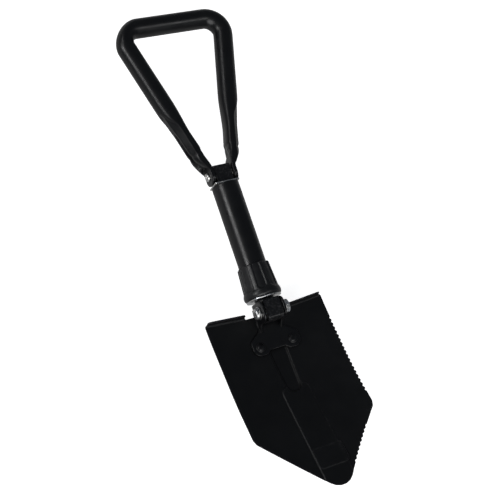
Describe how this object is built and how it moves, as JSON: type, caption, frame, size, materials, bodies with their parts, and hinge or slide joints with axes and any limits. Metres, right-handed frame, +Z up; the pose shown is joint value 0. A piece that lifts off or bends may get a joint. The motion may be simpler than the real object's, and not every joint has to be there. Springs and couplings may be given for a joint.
{
  "type": "folding shovel",
  "caption": "Folding camp shovel: pointed steel blade with a saw edge, tube shaft with a locking collar, and a folding D handle.",
  "frame": {"origin": "middle of the shovel's footprint, on the surface it lies on", "axes": "+Y along the shaft from the blade tip to the hand bar, +Z up out of the hollow side of the blade, +X towards the saw edge"},
  "size_m": [0.1448, 0.5716, 0.0651],
  "materials": {
    "black_coat": "semi-gloss black powder coat with a fine orange peel",
    "black_nylon": "satin moulded glass-filled nylon",
    "zinc_plate": "bright zinc plated steel",
    "bare_steel": "oiled plain steel",
    "white_polymer": "plain acetal"
  },
  "bodies": {
    "core": {"blade_hinge_block": "black_coat", "handle_hinge_block": "black_coat", "tension_rod": "bare_steel", "rod_pin_lower": "bare_steel", "rod_pin_upper": "bare_steel", "blade_hinge_bolt": "zinc_plate", "blade_hinge_nut": "zinc_plate", "handle_hinge_rivet": "zinc_plate", "hinge_spacer_left": "white_polymer", "hinge_spacer_right": "white_polymer", "bolt_washer_left": "zinc_plate", "bolt_washer_right": "zinc_plate", "handle_hinge_washer_left": "zinc_plate", "handle_hinge_washer_right": "zinc_plate"},
    "shaft": {"shaft_tube": "black_coat", "threaded_sleeve": "bare_steel", "top_bearing_plate": "zinc_plate", "guide_bush_lower": "white_polymer", "guide_bush_upper": "white_polymer"},
    "washer": {"collar_thrust_washer": "zinc_plate", "collar_retaining_ring": "bare_steel"},
    "collar": {"locking_collar": "black_nylon"},
    "blade": {"blade": "black_coat", "blade_bracket": "black_coat", "bracket_rivet_left": "black_coat", "bracket_rivet_right": "black_coat"},
    "handle": {"d_handle": "black_coat"}
  },
  "joints": [
    {"name": "handle_fold", "type": "hinge", "parent": "core", "child": "handle", "pos_m": [0, 0.07943, 0.0218], "axis": [-1, 0, 0], "range_deg": [0, 170]},
    {"name": "blade_fold", "type": "hinge", "parent": "core", "child": "blade", "pos_m": [0, -0.08707, 0.0298], "axis": [-1, 0, 0], "range_deg": [0, 165]},
    {"name": "collar_turn", "type": "hinge", "parent": "washer", "child": "collar", "pos_m": [0, -0.05707, 0.0218], "axis": [0, 1, 0], "range_deg": [-241, 481]},
    {"name": "collar_slide", "type": "slide", "parent": "core", "child": "washer", "axis": [0, 1, 0], "range_m": [-0.002, 0.004]},
    {"name": "tube_slide", "type": "slide", "parent": "core", "child": "shaft", "axis": [0, -1, 0], "range_m": [0, 0.0096]}
  ],
  "couplings": [
    {"joint": "collar_turn", "follows": "collar_slide", "rad_per_m": 2094.4},
    {"joint": "tube_slide", "follows": "handle_fold", "m_per_rad": 0.0032018}
  ]
}
